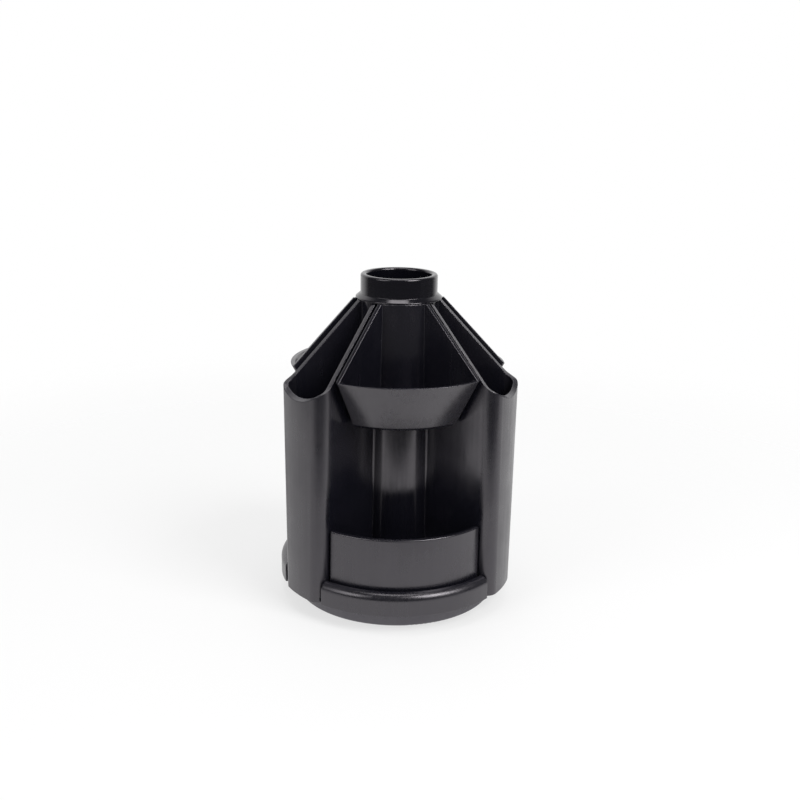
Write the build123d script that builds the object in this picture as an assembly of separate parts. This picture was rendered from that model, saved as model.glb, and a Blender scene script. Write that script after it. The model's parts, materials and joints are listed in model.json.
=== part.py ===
from build123d import *
import math
import os

# Rotating desk organizer: a round drum that turns on a fixed foot.
# Millimetres. The drum turns about Z, the pads stand on Z = 0 and -Y is the front.
# Three open compartments alternate with three deep pockets around a pen cup.

# Layout around the axis: each compartment's angle is measured at the top, and its walls' draft
# makes it wider downwards
compartments = 3
open_angle = 86.1
divider_draft = 1.04

# Foot
foot_radius = 39.0
foot_height = 6.2
foot_wall = 1.8
foot_edge_radius = 0.8
foot_rib_count = 12
foot_rib_width = 1.4
foot_rib_drop = 1.4

# Pads under the foot
pad_count = 4
pad_radius = 4.6
pad_thickness = 1.8
pad_proud = 0.5
pad_setback = 8.0
pad_fit = 0.15
pad_cup_wall = 1.3
pad_edge_radius = 0.3

# Turning joint
hub_wall = 5.0
hub_length = 3.2
spigot_radius = 8.0
running_fit = 0.06
end_play = 0.2
washer_overlap = 3.5
washer_thickness = 0.8
screw_radius = 2.0
screw_length = 8.6
screw_head_radius = 4.0
screw_head_height = 1.2
screw_fit = 0.05
screw_drive_width = 1.0
screw_drive_length = 5.0
screw_drive_depth = 0.6
slip_ring_setback = 5.0
slip_ring_width = 9.0
slip_ring_thickness = 1.2
slip_ring_seat = 0.4
slip_ring_fit = 0.3

# Base plate with its sills
plate_thickness = 2.0
plate_fit = 0.3
sill_height = 8.7
sill_setback = 0.6
sill_width = 3.7
sill_inner_radius = 0.5
sill_crest = 0.2
screw_boss_radius = 6.0
screw_boss_height = 2.6

# Drum
drum_radius = 46.0
drum_wall = 1.8
drum_corner_radius = 4.5
drum_height = 109.7
tube_radius = 14.6
tube_wall = 1.1
root_radius = 0.6
divider_slope = 46.3
divider_shoulder = 0.8
pocket_rim_landing = 3.2
rim_blend_radius = 8.0
rim_scoop_inset = 1.0
rim_scoop_depth = 4.6
rim_shoulder_radius = 4.0

# Posts for the base plate's screws
post_offset = 3.6
post_radius = 3.4
post_height = 12.0
plate_screw_radius = 1.3
plate_screw_length = 10.0
plate_screw_head_radius = 2.6
plate_screw_head_height = 1.2
plate_screw_clearance = 0.3

# Lower bins
bin_setback = 5.2
bin_height = 26.3
bin_wall = 1.6
bin_gap = 0.8
bin_back_gap = 0.5
bin_side_height = 11.0
bin_scoop_run = 9.0
bin_scoop_radius = 5.0
bin_edge_radius = 0.5

# Upper trays
tray_setback = 5.4
tray_shoulder = 2.5
tray_front_run = 10.3
tray_depth = 18.6
tray_wall = 1.3
tray_gap = 2.0
tray_back_gap = 0.3
tray_base_edge_radius = 2.6
tray_corner_radius = 1.0
hook_angle = 50.0
hook_thickness = 1.3
hook_fit = 0.3

# Pen cup
cup_fit = 0.3
cup_wall = 1.1
cup_floor = 1.6
cup_floor_gap = 0.6
collar_wall = 2.3
collar_height = 7.3
collar_lip_radius = 0.9
flange_overhang = 1.6
flange_thickness = 1.7
flange_edge_height = 0.5
flange_edge_radius = 0.4
flange_bevel = 1.5
flange_foot_radius = 0.2

# Heights and radii that follow from the sizes above
pocket_angle = 360 / compartments - open_angle
pad_circle = foot_radius - pad_setback
hub_radius = spigot_radius + hub_wall
washer_radius = spigot_radius + washer_overlap
slip_ring_outer = foot_radius - slip_ring_setback
slip_ring_inner = slip_ring_outer - slip_ring_width
foot_top = pad_proud + foot_height
slip_ring_bottom = foot_top - slip_ring_seat
plate_bottom = slip_ring_bottom + slip_ring_thickness
plate_top = plate_bottom + plate_thickness
sill_radius = drum_radius - sill_setback
sill_top = plate_bottom + sill_height
sill_lip_radius = sill_width - sill_inner_radius - sill_crest
drum_top = plate_bottom + drum_height
tube_bore = tube_radius - tube_wall
post_circle = tube_radius + post_offset
hub_bottom = foot_top - hub_length
spigot_bottom = hub_bottom - end_play
washer_bottom = spigot_bottom - washer_thickness
boss_top = plate_top + screw_boss_height
cup_bottom = boss_top + cup_floor_gap
cup_radius = tube_bore - cup_fit
cup_bore_radius = cup_radius - cup_wall
collar_radius = cup_bore_radius + collar_wall
flange_radius = tube_radius + flange_overhang
flange_top = drum_top + flange_thickness
collar_top = flange_top + collar_height
rim_slope = math.tan(math.radians(divider_slope))
divider_start = tube_radius + divider_shoulder
pocket_rim = drum_top - rim_slope * (drum_radius - pocket_rim_landing - divider_start)
tray_radius = drum_radius - tray_setback
tray_base_radius = tray_radius - tray_front_run
tray_slope_end = tube_radius + tray_shoulder
tray_rim = drum_top - rim_slope * (tray_radius - tray_slope_end)
tray_bottom = tray_rim - tray_depth
tray_back = tube_radius + tray_back_gap
hook_bottom = drum_top - hook_thickness
bin_radius = drum_radius - bin_setback
bin_back = tube_radius + bin_back_gap
bin_top = plate_top + bin_height
pad_cup_radius = pad_radius + pad_fit + pad_cup_wall

# How far a cut runs past what it cuts
reach = 3 * drum_radius
overcut = 1.0


def placed(shape, index, offset=0.0):
    """A copy turned to one of the compartments, or by a share of the way to the next."""
    return Rot(0, 0, (index + offset) * 360 / compartments) * shape


def wedge(angle, inset):
    """Plan of a wedge that opens towards -Y, its sides moved inwards by the inset."""
    half = math.radians(angle / 2)
    tip = -inset / math.sin(half)
    side = reach * math.sin(half)
    far = tip - reach * math.cos(half)
    return make_face(Polyline((0, tip), (side, far), (-side, far), close=True))


def sector(angle, inset, low, high, lean=1):
    """Room towards -Y between two walls, radial at the top, that lean in as they rise, or out for -1."""
    drift = lean * math.tan(math.radians(divider_draft))
    shift = drift / math.sin(math.radians(angle / 2))
    plan = Pos(0, 0, low) * wedge(angle, inset + drift * (low - drum_top))
    return extrude(plan, (high - low) * math.hypot(1, shift), dir=(0, -shift, 1))


def raised(plan, low, high):
    """A plan made into a solid between two heights."""
    return extrude(Pos(0, 0, low) * plan, high - low, dir=(0, 0, 1))


def profile(points, rounded=()):
    """A closed outline of radius and height, with (corner number, radius) pairs rounded."""
    face = Plane.XZ * make_face(Polyline(*points, close=True))
    for number, radius in rounded:
        place = Vector(points[number][0], 0, points[number][1])
        corner = face.vertices().sort_by_distance(place)[0]
        face = fillet(corner, radius)
    return face


def turned(points, rounded=()):
    """A solid of revolution about Z from a profile."""
    return revolve(profile(points, rounded), Axis.Z, 360)


def disc(radius, low, high):
    """A plain round solid on the axis."""
    return raised(Circle(radius), low, high)


def drilled(radius, circle, low, high, angle):
    """A round solid standing on a circle about the axis, counted from -Y."""
    return raised(Rot(0, 0, angle) * Pos(0, -circle) * Circle(radius), low, high)


def make_foot_disc():
    """Round foot: a shallow cap with a bored hub, ribs and cups for the pads."""
    inside = foot_radius - foot_wall
    ceiling = foot_top - foot_wall
    body = turned(
        [(0, pad_proud), (foot_radius, pad_proud), (foot_radius, foot_top), (0, foot_top)],
        [(1, foot_edge_radius), (2, foot_edge_radius)],
    )
    hollow = disc(inside, pad_proud, ceiling)
    hollow -= disc(hub_radius, hub_bottom, ceiling)
    for index in range(pad_count):
        angle = (index + 0.5) * 360 / pad_count
        hollow -= drilled(pad_cup_radius, pad_circle, pad_proud, ceiling, angle)
    for index in range(foot_rib_count):
        strip = Pos(0, -(hub_radius + inside) / 2) * Rectangle(foot_rib_width, inside - hub_radius + overcut)
        hollow -= raised(Rot(0, 0, index * 360 / foot_rib_count) * strip, ceiling - foot_rib_drop, ceiling)
    body -= hollow
    for index in range(pad_count):
        angle = (index + 0.5) * 360 / pad_count
        body -= drilled(pad_radius + pad_fit, pad_circle, 0, pad_thickness, angle)
    body -= disc(spigot_radius + running_fit, 0, foot_top + overcut)
    groove = Circle(slip_ring_outer + slip_ring_fit) - Circle(slip_ring_inner - slip_ring_fit)
    body -= raised(groove, slip_ring_bottom, foot_top + overcut)
    return body


def make_foot_pad(index):
    """Soft round pad that stands a little proud of its cup."""
    pad = turned(
        [(0, 0), (pad_radius, 0), (pad_radius, pad_thickness), (0, pad_thickness)],
        [(1, pad_edge_radius)],
    )
    return Rot(0, 0, (index + 0.5) * 360 / pad_count) * Pos(0, -pad_circle) * pad


def make_slip_ring():
    """Flat ring that carries the drum and slides under the base plate."""
    ring = Circle(slip_ring_outer) - Circle(slip_ring_inner)
    return raised(ring, slip_ring_bottom, plate_bottom)


def make_pivot_washer():
    """Washer that holds the foot's hub on the spigot."""
    ring = Circle(washer_radius) - Circle(screw_radius + screw_fit)
    return raised(ring, washer_bottom, spigot_bottom)


def make_pivot_screw():
    """Flat-headed screw with a cross recess, driven up into the spigot."""
    head_bottom = washer_bottom - screw_head_height
    screw = disc(screw_head_radius, head_bottom, washer_bottom)
    screw += disc(screw_radius, head_bottom, washer_bottom + screw_length)
    slot = Rectangle(screw_drive_width, screw_drive_length)
    cross = slot + Rot(0, 0, 90) * slot
    screw -= raised(cross, head_bottom, head_bottom + screw_drive_depth)
    return screw


def make_base_plate():
    """Turning floor: a disc with the sills in front of the bins and the pivot spigot."""
    plate = disc(drum_radius - drum_wall - plate_fit, plate_bottom, plate_top)
    sill = turned(
        [
            (sill_radius - sill_width, plate_bottom),
            (sill_radius, plate_bottom),
            (sill_radius, sill_top),
            (sill_radius - sill_width, sill_top),
        ],
        [(2, sill_lip_radius), (3, sill_inner_radius)],
    )
    for index in range(compartments):
        front = sector(open_angle, drum_wall / 2 + plate_fit, 0, sill_top + overcut)
        plate += sill & placed(front, index)
    plate += disc(spigot_radius, spigot_bottom, plate_bottom)
    plate += disc(screw_boss_radius, plate_top, boss_top)
    plate -= disc(screw_radius + screw_fit, spigot_bottom, boss_top)
    for index in range(compartments):
        angle = (index + 0.5) * 360 / compartments
        seat = plate_bottom + plate_screw_head_height
        hole = plate_screw_radius + plate_screw_clearance
        sink = plate_screw_head_radius + plate_screw_clearance
        plate -= drilled(hole, post_circle, plate_bottom, plate_top, angle)
        plate -= drilled(sink, post_circle, plate_bottom, seat, angle)
    return plate


def make_plate_screws():
    """Three equal screws up through the base plate into the drum's posts."""
    screws = []
    for index in range(compartments):
        angle = (index + 0.5) * 360 / compartments
        seat = plate_bottom + plate_screw_head_height
        screw = drilled(plate_screw_head_radius, post_circle, plate_bottom, seat, angle)
        screw += drilled(plate_screw_radius, post_circle, seat, plate_bottom + plate_screw_length, angle)
        screws.append(screw)
    return Compound(screws)


def pocket_block(inset, radius, corner, low):
    """A deep pocket as a solid block, with its two long outer corners rounded."""
    block = sector(pocket_angle, inset, low, drum_top, -1) & disc(radius, low, drum_top)
    upright = block.edges().filter_by_position(Axis.Z, low + overcut, drum_top - overcut)
    middle = Vector(0, 0, (low + drum_top) / 2)
    return fillet(upright.sort_by_distance(middle)[-2:], corner)


def pocket_top_cut():
    """What is cut away over a pocket: above the dividers' slope, and above the wall's scooped rim."""
    half_angle = math.radians(pocket_angle / 2)
    slope = rim_slope / math.cos(half_angle)
    start = divider_start * math.cos(half_angle)
    side = [
        (-start, drum_top),
        (-reach, drum_top - slope * (reach - start)),
        (-reach, drum_top + overcut),
        (-start, drum_top + overcut),
    ]
    above_slope = extrude(Plane.YZ * make_face(Polyline(*side, close=True)), drum_radius, both=True)
    half = drum_radius * math.sin(half_angle) - rim_scoop_inset
    bottom = pocket_rim - rim_scoop_depth
    front = ThreePointArc((-half, pocket_rim), (0, bottom), (half, pocket_rim))
    front += Polyline(
        (half, pocket_rim),
        (drum_radius, pocket_rim),
        (drum_radius, drum_top + overcut),
        (-drum_radius, drum_top + overcut),
        (-drum_radius, pocket_rim),
        (-half, pocket_rim),
    )
    face = make_face(front)
    shoulders = face.vertices().sort_by_distance(Vector(0, bottom, 0))[:2]
    above_rim = extrude(Plane.XZ * fillet(shoulders, rim_shoulder_radius), reach)
    cut = above_slope & above_rim
    valley = cut.edges().filter_by_position(Axis.Y, -drum_radius, 0)
    valley = valley.filter_by_position(Axis.Z, 0, pocket_rim + overcut)
    return fillet(valley, rim_blend_radius)


def divider_roots(drum):
    """The long edges where the dividers' faces meet the centre tube."""
    return [
        edge
        for edge in drum.edges()
        if edge.length > (drum_top - plate_top) / 2
        and abs(math.hypot(edge.center().X, edge.center().Y) - tube_radius) < root_radius / 2
    ]


def make_drum():
    """Main moulding: pockets and dividers around the centre tube, open underneath."""
    inside = drum_radius - drum_wall
    shell = pocket_block(-drum_wall / 2, drum_radius, drum_corner_radius, plate_bottom)
    shell -= disc(inside, plate_bottom, plate_top)
    hollow = pocket_block(drum_wall / 2, inside, drum_corner_radius - drum_wall, plate_top)
    hollow -= disc(tube_radius, plate_top, drum_top)
    drum = disc(tube_radius, plate_top, drum_top)
    for index in range(compartments):
        drum += placed(shell, index, 0.5)
    for index in range(compartments):
        drum -= placed(hollow, index, 0.5)
        drum -= placed(pocket_top_cut(), index, 0.5)
    drum -= disc(tube_bore, plate_top, drum_top)
    for index in range(compartments):
        angle = (index + 0.5) * 360 / compartments
        post = drilled(post_radius, post_circle, plate_top, plate_top + post_height, angle)
        drum += post - disc(tube_bore, plate_top, plate_top + post_height)
        pilot = plate_screw_radius + screw_fit
        drum -= drilled(pilot, post_circle, plate_top, plate_bottom + plate_screw_length + overcut, angle)
    seat = raised(wedge(hook_angle, -hook_fit), hook_bottom, drum_top + overcut)
    for index in range(compartments):
        drum -= placed(seat, index)
    return fillet(divider_roots(drum), root_radius)


def make_lower_bin(index):
    """Low bin behind a sill: a curved front, and sides and back that scoop down behind it."""
    inset = drum_wall / 2 + bin_gap
    outer = turned(
        [(bin_back, plate_top), (bin_radius, plate_top), (bin_radius, bin_top), (bin_back, bin_top)],
        [(2, bin_edge_radius)],
    )
    inside = bin_radius - bin_wall
    floor = plate_top + bin_wall
    cavity = turned(
        [(bin_back + bin_wall, floor), (inside, floor), (inside, bin_top), (bin_back + bin_wall, bin_top)],
        [(1, bin_edge_radius)],
    )
    side_top = plate_top + bin_side_height
    scoop = turned(
        [(0, side_top), (inside - bin_scoop_run, side_top), (inside, bin_top), (0, bin_top)],
        [(1, bin_scoop_radius)],
    )
    body = outer & sector(open_angle, inset, 0, bin_top)
    body -= cavity & sector(open_angle, inset + bin_wall, 0, bin_top)
    body -= scoop
    return placed(body, index)


def make_upper_tray(index):
    """Shallow tray with a sloping front, hooked over the drum's centre tube."""
    inset = drum_wall / 2 + tray_gap
    outer = turned(
        [
            (tray_back, tray_bottom),
            (tray_base_radius, tray_bottom),
            (tray_radius, tray_rim),
            (tray_slope_end, drum_top),
            (tray_back, drum_top),
        ],
        [(1, tray_base_edge_radius)],
    )
    lean = (tray_radius - tray_base_radius) / tray_depth
    wall_across = tray_wall * math.hypot(1, lean)
    floor = tray_bottom + tray_wall
    back = tray_back + tray_wall
    cavity = turned(
        [
            (back, floor),
            (tray_base_radius + lean * tray_wall - wall_across, floor),
            (tray_radius - wall_across, tray_rim),
            (reach, tray_rim),
            (reach, drum_top),
            (back, drum_top),
        ],
        [(1, tray_base_edge_radius - tray_wall)],
    )
    body = outer & sector(open_angle, inset, 0, drum_top)
    body -= cavity & sector(open_angle, inset + tray_wall, 0, drum_top)
    corners = body.edges().filter_by(GeomType.HYPERBOLA).filter_by_position(Axis.Z, tray_bottom, tray_rim)
    body = fillet(corners, tray_corner_radius)
    hook = Circle(back) - Circle(tube_bore)
    body += raised(hook & wedge(hook_angle, 0), hook_bottom, drum_top)
    return placed(body, index)


def make_pen_cup():
    """Long round cup on the axis, with a bevelled flange on the drum and a collar above it."""
    return turned(
        [
            (0, cup_bottom),
            (cup_radius, cup_bottom),
            (cup_radius, drum_top),
            (flange_radius, drum_top),
            (flange_radius, drum_top + flange_edge_height),
            (flange_radius - flange_bevel, flange_top),
            (collar_radius, flange_top),
            (collar_radius, collar_top),
            (cup_bore_radius, collar_top),
            (cup_bore_radius, cup_bottom + cup_floor),
            (0, cup_bottom + cup_floor),
        ],
        [(3, flange_foot_radius), (4, flange_edge_radius), (7, collar_lip_radius), (8, collar_lip_radius)],
    )


def write_parts():
    """One file for each separate piece."""
    pieces = {
        "foot_disc": make_foot_disc(),
        "slip_ring": make_slip_ring(),
        "base_plate": make_base_plate(),
        "pivot_washer": make_pivot_washer(),
        "pivot_screw": make_pivot_screw(),
        "plate_screws": make_plate_screws(),
        "drum": make_drum(),
        "pen_cup": make_pen_cup(),
    }
    for index in range(pad_count):
        pieces[f"foot_pad_{index + 1}"] = make_foot_pad(index)
    for index in range(compartments):
        pieces[f"lower_bin_{index + 1}"] = make_lower_bin(index)
        pieces[f"upper_tray_{index + 1}"] = make_upper_tray(index)
    os.makedirs("parts", exist_ok=True)
    for name, piece in pieces.items():
        export_step(piece, f"parts/{name}.step")


write_parts()
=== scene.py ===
import json
import math
import bpy
from mathutils import Matrix, Vector

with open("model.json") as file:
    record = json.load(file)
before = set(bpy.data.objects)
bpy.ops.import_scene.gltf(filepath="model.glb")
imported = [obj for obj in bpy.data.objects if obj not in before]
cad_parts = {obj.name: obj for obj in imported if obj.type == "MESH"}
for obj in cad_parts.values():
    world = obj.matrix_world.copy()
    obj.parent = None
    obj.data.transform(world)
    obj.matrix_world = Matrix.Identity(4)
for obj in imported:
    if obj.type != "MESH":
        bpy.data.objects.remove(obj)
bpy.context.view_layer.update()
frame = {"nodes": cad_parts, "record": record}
nodes = frame["nodes"]

mm = 0.001  # the frame is in metres


# small helpers

def linear(hexColour):
    # sRGB hex to the linear values that a shader takes
    channels = [int(hexColour[place:place + 2], 16) / 255 for place in (1, 3, 5)]
    return [c / 12.92 if c <= 0.04045 else ((c + 0.055) / 1.055) ** 2.4 for c in channels] + [1.0]


def addNode(tree, kind, values=None, links=None):
    # values: a property by its lower-case name, or a socket by its label or number
    # links: a socket and the output that feeds it
    node = tree.nodes.new("ShaderNode" + kind)
    for key, value in (values or {}).items():
        if isinstance(key, str) and key[0].islower():
            setattr(node, key, value)
        else:
            node.inputs[key].default_value = value
    for key, source in (links or {}).items():
        tree.links.new(source, node.inputs[key])
    return node


def newMaterial(name):
    material = bpy.data.materials.new(name)
    material.use_nodes = True
    material.node_tree.nodes.clear()
    return material, material.node_tree


def perMetre(sizeInMm):
    # noise scale for features of this real size
    return 1 / (sizeInMm * mm)


# moulded plastics: sizes and heights in mm

drumLook = {
    "colour": "#14141b",
    # the paler edge colour: partly wear, partly a painted highlight along the edges
    "wornAndHighlitEdge": "#44444b",
    "ior": 1.59,
    "specular": 0.85,
    "tint": "#fff9ff",
    "roughness": 0.30,
    "coreRoughness": 0.19,  # the mould's core was polished finer than its cavity
    "coreRadius": 41.0,  # how far from the axis the core's faces reach
    "coreBlend": 1.0,
    "grain": 0.7,
    "grainDetail": 2.0,
    "grainHeight": 0.006,
    "drag": 1.3,
    "dragDetail": 3.0,
    "dragHeight": 0.004,
    "dragStretch": 0.03,  # smaller draws the marks out longer
    "dragSpan": (0.35, 0.65),
    "dragGloss": 0.03,
    "ripple": 14,
    "rippleDetail": 1.0,
    "rippleHeight": 0.05,
    "smudge": 22,
    "smudgeDetail": 5.0,
    "smudgeBreak": 0.62,
    "smudgeSpan": (0.3, 0.7),
    "smudgeDepth": 0.08,
    "smudgeTone": 0.14,
    "edge": 0.45,
    "edgeSamples": 12,
    "wearAndHighlightSpan": (0.995, 0.90),  # how far the softened edge turns from the face, none to most
    "wearAndHighlightMost": 0.75,
}

insertLook = dict(drumLook, roughness=0.25, coreRoughness=0.20, coreRadius=28.0, ripple=18)

# the cup's paler edge colour is likewise partly wear, partly a painted highlight
cupLook = dict(drumLook, colour="#0c0c12", wornAndHighlitEdge="#2c2c32", roughness=0.16, coreRoughness=0.16,
               specular=0.58, grainHeight=0.003, ripple=11, rippleHeight=0.03,
               smudgeDepth=0.05, edge=0.35)

# the foot's colour is lighter than the drum's plastic: painted light that makes up for the shade
# the foot stands in
footLook = dict(drumLook, colour="#3b3b42", roughness=0.50, coreRoughness=0.50, specular=1.0,
                grain=0.9, grainHeight=0.02)


def mouldedPlastic(name, look):
    # High-impact polystyrene from a polished or lightly blasted mould: black all through, with a
    # soft broad sheen that wavers a little where the wall shrank, a fine grain, and paler edges,
    # partly rubbed by handling and partly a painted highlight.
    material, tree = newMaterial(name)
    place = addNode(tree, "TexCoord").outputs["Object"]
    # the grain is about 0.1 mm on the real wall and is drawn coarser, so that it shows
    grain = addNode(tree, "TexNoise", {
        "Scale": perMetre(look["grain"]), "Detail": look["grainDetail"],
    }, {"Vector": place})
    ripple = addNode(tree, "TexNoise", {
        "Scale": perMetre(look["ripple"]), "Detail": look["rippleDetail"],
    }, {"Vector": place})
    smudge = addNode(tree, "TexNoise", {
        "Scale": perMetre(look["smudge"]), "Detail": look["smudgeDetail"],
        "Roughness": look["smudgeBreak"],
    }, {"Vector": place})
    # upright marks from pulling the moulding off its core, drawn coarser than the real ones
    drawn = addNode(tree, "VectorMath", {
        "operation": "MULTIPLY", 1: (1, 1, look["dragStretch"]),
    }, {0: place})
    drag = addNode(tree, "TexNoise", {
        "Scale": perMetre(look["drag"]), "Detail": look["dragDetail"],
    }, {"Vector": drawn.outputs["Vector"]})

    # the softened edge turns away from the face, and a paler colour shows there where the
    # smudges allow it: partly wear, partly a painted highlight
    soft = addNode(tree, "Bevel", {
        "samples": look["edgeSamples"], "Radius": look["edge"] * mm,
    })
    flat = addNode(tree, "NewGeometry")
    meet = addNode(tree, "VectorMath", {"operation": "DOT_PRODUCT"},
                   {0: soft.outputs["Normal"], 1: flat.outputs["Normal"]})
    unmarked, mostMarked = look["wearAndHighlightSpan"]
    wearAndHighlight = addNode(tree, "MapRange", {
        "From Min": unmarked, "From Max": mostMarked, "To Min": 0.0, "To Max": look["wearAndHighlightMost"],
    }, {"Value": meet.outputs["Value"]})
    rubbingAndHighlight = addNode(tree, "Math", {"operation": "MULTIPLY"},
                      {0: wearAndHighlight.outputs["Result"], 1: smudge.outputs["Fac"]})

    faint, strong = look["smudgeSpan"]
    tone = addNode(tree, "MapRange", {
        "From Min": faint, "From Max": strong,
        "To Min": 1 - look["smudgeTone"], "To Max": 1 + look["smudgeTone"],
    }, {"Value": smudge.outputs["Fac"]})
    body = addNode(tree, "Mix", {
        "data_type": "RGBA", "blend_type": "MULTIPLY", 0: 1.0, 6: linear(look["colour"]),
    }, {7: tone.outputs["Result"]})
    # paler edges: partly wear, partly a painted highlight
    colour = addNode(tree, "Mix", {"data_type": "RGBA", 7: linear(look["wornAndHighlitEdge"])},
                     {0: rubbingAndHighlight.outputs["Value"], 6: body.outputs[2]})

    # gloss: by the distance from the axis, then patches and streaks
    plan = addNode(tree, "VectorMath", {"operation": "MULTIPLY", 1: (1, 1, 0)}, {0: place})
    reach = addNode(tree, "VectorMath", {"operation": "LENGTH"}, {0: plan.outputs["Vector"]})
    cavity = addNode(tree, "MapRange", {
        "From Min": (look["coreRadius"] - look["coreBlend"]) * mm,
        "From Max": look["coreRadius"] * mm,
        "To Min": look["coreRoughness"], "To Max": look["roughness"],
    }, {"Value": reach.outputs["Value"]})
    patches = addNode(tree, "MapRange", {
        "From Min": faint, "From Max": strong,
        "To Min": -look["smudgeDepth"], "To Max": look["smudgeDepth"],
    }, {"Value": smudge.outputs["Fac"]})
    clouded = addNode(tree, "Math", {"operation": "ADD"},
                      {0: cavity.outputs["Result"], 1: patches.outputs["Result"]})
    shallow, deep = look["dragSpan"]
    streaks = addNode(tree, "MapRange", {
        "From Min": shallow, "From Max": deep,
        "To Min": -look["dragGloss"], "To Max": look["dragGloss"],
    }, {"Value": drag.outputs["Fac"]})
    gloss = addNode(tree, "Math", {"operation": "ADD"},
                    {0: clouded.outputs["Value"], 1: streaks.outputs["Result"]})

    relief = soft.outputs["Normal"]
    for pattern, height in (
        (ripple, look["rippleHeight"]),
        (drag, look["dragHeight"]),
        (grain, look["grainHeight"]),
    ):
        relief = addNode(tree, "Bump", {"Distance": height * mm}, {
            "Height": pattern.outputs["Fac"], "Normal": relief,
        }).outputs["Normal"]
    shader = addNode(tree, "BsdfPrincipled", {
        "IOR": look["ior"],
        "Specular IOR Level": look["specular"],
        "Specular Tint": linear(look["tint"]),
    }, {
        "Base Color": colour.outputs[2],
        "Roughness": gloss.outputs["Value"],
        "Normal": relief,
    })
    addNode(tree, "OutputMaterial", None, {"Surface": shader.outputs["BSDF"]})
    return material


# small pieces that show only from below or through a gap

padLook = {
    "colour": "#1d1d1d",
    "dusty": "#4a4845",
    "dustSpan": (0.55, 0.8),
    "ior": 1.52,
    "roughness": 0.85,
    "grain": 0.6,
    "grainDetail": 4.0,
    "grainHeight": 0.04,
}


def mouldedRubber(name, look):
    # Soft synthetic rubber: no shine at all, and it holds pale dust in its grain.
    material, tree = newMaterial(name)
    place = addNode(tree, "TexCoord").outputs["Object"]
    grain = addNode(tree, "TexNoise", {
        "Scale": perMetre(look["grain"]), "Detail": look["grainDetail"],
    }, {"Vector": place})
    clean, full = look["dustSpan"]
    dust = addNode(tree, "MapRange", {"From Min": clean, "From Max": full},
                   {"Value": grain.outputs["Fac"]})
    colour = addNode(tree, "Mix", {
        "data_type": "RGBA", 6: linear(look["colour"]), 7: linear(look["dusty"]),
    }, {0: dust.outputs["Result"]})
    relief = addNode(tree, "Bump", {"Distance": look["grainHeight"] * mm},
                     {"Height": grain.outputs["Fac"]})
    shader = addNode(tree, "BsdfPrincipled", {
        "Roughness": look["roughness"], "IOR": look["ior"],
    }, {"Base Color": colour.outputs[2], "Normal": relief.outputs["Normal"]})
    addNode(tree, "OutputMaterial", None, {"Surface": shader.outputs["BSDF"]})
    return material


ringLook = {
    "colour": "#d9d6cc",
    "greased": "#a8a393",
    "ior": 1.48,
    "milkiness": 0.1,
    "roughness": 0.38,
    "patch": 9,
    "patchDetail": 4.0,
    "patchDepth": 0.1,
}


def naturalAcetal(name, look):
    # Undyed acetal sheet, punched: milky white and waxy, with darker patches of grease.
    material, tree = newMaterial(name)
    place = addNode(tree, "TexCoord").outputs["Object"]
    patch = addNode(tree, "TexNoise", {
        "Scale": perMetre(look["patch"]), "Detail": look["patchDetail"],
    }, {"Vector": place})
    colour = addNode(tree, "Mix", {
        "data_type": "RGBA", 6: linear(look["colour"]), 7: linear(look["greased"]),
    }, {0: patch.outputs["Fac"]})
    gloss = addNode(tree, "MapRange", {
        "To Min": look["roughness"] + look["patchDepth"],
        "To Max": look["roughness"] - look["patchDepth"],
    }, {"Value": patch.outputs["Fac"]})
    shader = addNode(tree, "BsdfPrincipled", {
        "IOR": look["ior"], "Subsurface Weight": look["milkiness"],
    }, {"Base Color": colour.outputs[2], "Roughness": gloss.outputs["Result"]})
    addNode(tree, "OutputMaterial", None, {"Surface": shader.outputs["BSDF"]})
    return material


steelLook = {
    "colour": "#b9bbba",
    "cloudy": "#8f9394",
    "clearRoughness": 0.22,
    "cloudyRoughness": 0.40,
    "patch": 1.6,
    "patchDetail": 4.0,
    "turning": 0.785,  # the tool's rings are finer on the real screw and are drawn coarser
    "turningHeight": 0.01,
    "turningStrength": 0.5,
}

waveSpacing = 2 * math.pi / 20  # how far apart a wave texture's rings are at scale 1


def zincPlatedSteel(name, look):
    # Turned steel under bright zinc: bluish grey and cloudy, with fine rings left by the tool.
    material, tree = newMaterial(name)
    place = addNode(tree, "TexCoord").outputs["Object"]
    cloud = addNode(tree, "TexNoise", {
        "Scale": perMetre(look["patch"]), "Detail": look["patchDetail"],
    }, {"Vector": place})
    rings = addNode(tree, "TexWave", {
        "wave_type": "RINGS", "rings_direction": "Z",
        "Scale": perMetre(look["turning"]) * waveSpacing,
    }, {"Vector": place})
    colour = addNode(tree, "Mix", {
        "data_type": "RGBA", 6: linear(look["colour"]), 7: linear(look["cloudy"]),
    }, {0: cloud.outputs["Fac"]})
    gloss = addNode(tree, "MapRange", {
        "To Min": look["clearRoughness"], "To Max": look["cloudyRoughness"],
    }, {"Value": cloud.outputs["Fac"]})
    relief = addNode(tree, "Bump", {
        "Distance": look["turningHeight"] * mm, "Strength": look["turningStrength"],
    }, {"Height": rings.outputs["Fac"]})
    shader = addNode(tree, "BsdfPrincipled", {"Metallic": 1.0}, {
        "Base Color": colour.outputs[2],
        "Roughness": gloss.outputs["Result"],
        "Normal": relief.outputs["Normal"],
    })
    addNode(tree, "OutputMaterial", None, {"Surface": shader.outputs["BSDF"]})
    return material


finishes = {
    "drum_plastic": mouldedPlastic("satinBlackPolystyrene", drumLook),
    "insert_plastic": mouldedPlastic("satinBlackPolystyreneInserts", insertLook),
    "cup_plastic": mouldedPlastic("polishedBlackPolystyrene", cupLook),
    "foot_plastic": mouldedPlastic("mattBlackPolystyrene", footLook),
    "pad_rubber": mouldedRubber("blackRubber", padLook),
    "ring_plastic": naturalAcetal("naturalAcetalSheet", ringLook),
    "plated_steel": zincPlatedSteel("brightZincOnSteel", steelLook),
}
slotOf = {row["node"]: row["material_slot"] for row in frame["record"]["subparts"]}
for name, piece in nodes.items():
    piece.data.materials.clear()
    piece.data.materials.append(finishes[slotOf[name]])
print("finishes set:", len(finishes))


# floor: a sheet of white paper that fades into the surround, places in metres

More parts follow.
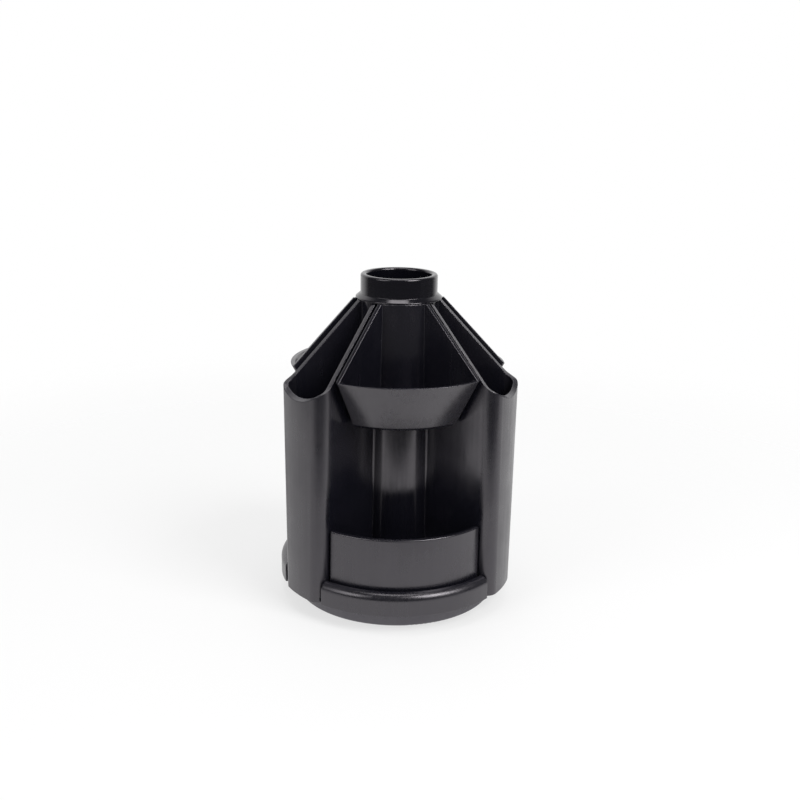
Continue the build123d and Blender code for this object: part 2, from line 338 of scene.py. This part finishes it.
paper = {
    "colour": "#efefef",
    "roughness": 0.7,
    "white": "#ffffff",
    "side": 0.45,
    "front": -0.20,
    "back": 0.60,
    "edgeFade": 0.055,
    "drop": 0.05,  # mm under the pads
    "shadowFrom": 0.16,  # the camera sees the paper up to here, and plain white beyond
    "shadowTo": 0.42,
    "cameraWhite": 0.65,  # the share that is plain white to the camera, the rest holds the shadow
    "leftLevel": 0.88,  # the key lamp is on the right, so gloss shows the paper brighter there
    "rightLevel": 1.0,
    "turn": (-0.12, 0.14),
}


def uncoatedPaper():
    # Smooth uncoated paper: matt and even, with no shine. The camera sees most of it as plain
    # white, gloss sees it glow, painted brighter towards the right as painted light, and all
    # other light falls on it as on real paper.
    material, tree = newMaterial("whitePaper")
    spot = addNode(tree, "TexCoord").outputs["Object"]
    place = addNode(tree, "SeparateXYZ", None, {0: spot})
    path = addNode(tree, "LightPath")
    mirrored = path.outputs["Is Glossy Ray"]

    # gloss sees the sheet up to its edges, and everything else sees a round patch of it
    across = addNode(tree, "Math", {"operation": "ABSOLUTE"}, {0: place.outputs["X"]})
    fades = []
    for source, edge in (
        (across.outputs["Value"], paper["side"]),
        (place.outputs["Y"], paper["front"]),
        (place.outputs["Y"], paper["back"]),
    ):
        fades.append(addNode(tree, "MapRange", {
            "interpolation_type": "SMOOTHSTEP",
            "From Min": edge - math.copysign(paper["edgeFade"], edge), "From Max": edge,
        }, {"Value": source}).outputs["Result"])
    ends = addNode(tree, "Math", {"operation": "MAXIMUM"}, {0: fades[1], 1: fades[2]})
    edges = addNode(tree, "Math", {"operation": "MAXIMUM"},
                    {0: fades[0], 1: ends.outputs["Value"]})
    reach = addNode(tree, "VectorMath", {"operation": "LENGTH"}, {0: spot})
    beyond = addNode(tree, "MapRange", {
        "interpolation_type": "SMOOTHSTEP",
        "From Min": paper["shadowFrom"], "From Max": paper["shadowTo"],
    }, {"Value": reach.outputs["Value"]})
    fade = addNode(tree, "Mix", None,
                   {0: mirrored, 2: beyond.outputs["Result"], 3: edges.outputs["Value"]})

    top = addNode(tree, "BsdfPrincipled", {
        "Base Color": linear(paper["colour"]), "Roughness": paper["roughness"],
    })
    white = addNode(tree, "Emission", {"Color": linear(paper["white"]), "Strength": 1.0})
    share = addNode(tree, "Math", {"operation": "MULTIPLY", 1: paper["cameraWhite"]},
                    {0: path.outputs["Is Camera Ray"]})
    seen = addNode(tree, "MixShader", None, {
        0: share.outputs["Value"], 1: top.outputs["BSDF"], 2: white.outputs["Emission"],
    })
    # painted light: for gloss the paper glows brighter towards the right, where the key lamp
    # stands
    left, right = paper["turn"]
    level = addNode(tree, "MapRange", {
        "interpolation_type": "SMOOTHSTEP", "From Min": left, "From Max": right,
        "To Min": paper["leftLevel"], "To Max": paper["rightLevel"],
    }, {"Value": place.outputs["X"]})
    glossGlow = addNode(tree, "Emission", {"Color": linear(paper["white"])},
                   {"Strength": level.outputs["Result"]})
    sheet = addNode(tree, "MixShader", None,
                    {0: mirrored, 1: seen.outputs["Shader"], 2: glossGlow.outputs["Emission"]})
    clear = addNode(tree, "BsdfTransparent")
    shader = addNode(tree, "MixShader", None, {
        0: fade.outputs[0], 1: sheet.outputs["Shader"], 2: clear.outputs["BSDF"],
    })
    addNode(tree, "OutputMaterial", None, {"Surface": shader.outputs["Shader"]})
    return material


def makeFloor():
    side, front, back = paper["side"], paper["front"], paper["back"]
    corners = [(-side, front, 0), (side, front, 0), (side, back, 0), (-side, back, 0)]
    mesh = bpy.data.meshes.new("floor")
    mesh.from_pydata(corners, [], [(0, 1, 2, 3)])
    floor = bpy.data.objects.new("floor", mesh)
    bpy.context.scene.collection.objects.link(floor)
    floor.location.z = -paper["drop"] * mm
    mesh.materials.append(uncoatedPaper())


# surround: levels of white, by how far a direction points to the back

surround = {
    "white": "#ffffff",
    "ambient": 0.52,
    "frontLevel": 0.08,  # gloss shows the room dim on the side that the camera stands on
    "frontFrom": 0.30,
    "frontTo": 0.75,
    "backLevel": 1.0,
}


def makeSurround():
    world = bpy.data.worlds.new("whiteSurround")
    bpy.context.scene.world = world
    world.use_nodes = True
    tree = world.node_tree
    tree.nodes.clear()
    path = addNode(tree, "LightPath")
    generated = addNode(tree, "TexCoord").outputs["Generated"]
    towards = addNode(tree, "SeparateXYZ", None, {0: generated})
    front = addNode(tree, "MapRange", {
        "interpolation_type": "SMOOTHSTEP",
        "From Min": surround["frontFrom"], "From Max": surround["frontTo"],
        "To Min": surround["frontLevel"], "To Max": surround["backLevel"],
    }, {"Value": towards.outputs["Y"]})
    mirrored = addNode(tree, "Math", {"operation": "MAXIMUM"}, {
        0: path.outputs["Is Glossy Ray"], 1: path.outputs["Is Transmission Ray"],
    })
    lit = addNode(tree, "Mix", {2: surround["ambient"]},
                  {0: mirrored.outputs["Value"], 3: front.outputs["Result"]})
    level = addNode(tree, "Mix", {3: 1.0}, {0: path.outputs["Is Camera Ray"], 2: lit.outputs[0]})
    light = addNode(tree, "Background", {"Color": linear(surround["white"])},
                    {"Strength": level.outputs[0]})
    addNode(tree, "OutputWorld", None, {"Surface": light.outputs["Background"]})


# lamps: square and soft, place and side in metres

lamps = {
    "keyLamp": {"place": (0.50, -0.55, 0.80), "side": 0.50, "watts": 6.5},
    "fillLamp": {"place": (-0.70, -0.45, 0.60), "side": 0.50, "watts": 2.0},
    "topLamp": {"place": (0.0, 0.03, 0.95), "side": 0.38, "watts": 1.7},
}
lampAim = Vector((0, 0, 0.06))  # half-way up the drum


def makeLamp(name, place, side, watts):
    data = bpy.data.lights.new(name, "AREA")
    data.size = side
    data.energy = watts
    lamp = bpy.data.objects.new(name, data)
    bpy.context.scene.collection.objects.link(lamp)
    lamp.location = place
    lamp.rotation_euler = (lampAim - Vector(place)).to_track_quat("-Z", "Y").to_euler()


makeFloor()
makeSurround()
for name, lamp in lamps.items():
    makeLamp(name, **lamp)
print("studio set:", len(lamps), "lamps")


# camera

view = {
    "distance": 0.430,
    "target": (0.0, 0.0, 0.060),
    "around": -7.12,  # degrees from the front, towards -X
    "down": 18.22,
    "roll": 0.92,
    "sensor": 36.0,
    "lens": 49.6,
    "shift": (0.0043, 0.0528),
    "near": 0.01,
    "far": 20.0,
}


def makeCamera():
    around = math.radians(view["around"])
    down = math.radians(view["down"])
    back = Vector((
        math.sin(around) * math.cos(down), -math.cos(around) * math.cos(down), math.sin(down),
    ))
    data = bpy.data.cameras.new("camera")
    data.sensor_width = view["sensor"]
    data.lens = view["lens"]
    data.shift_x, data.shift_y = view["shift"]
    data.clip_start = view["near"]
    data.clip_end = view["far"]
    camera = bpy.data.objects.new("camera", data)
    bpy.context.scene.collection.objects.link(camera)
    roll = Matrix.Rotation(math.radians(view["roll"]), 3, "Z")
    turn = back.to_track_quat("Z", "Y").to_matrix() @ roll
    stand = Matrix.Translation(Vector(view["target"]) + back * view["distance"])
    camera.matrix_world = stand @ turn.to_4x4()
    bpy.context.scene.camera = camera


makeCamera()
bpy.context.scene.view_settings.view_transform = "Standard"
print("camera set")
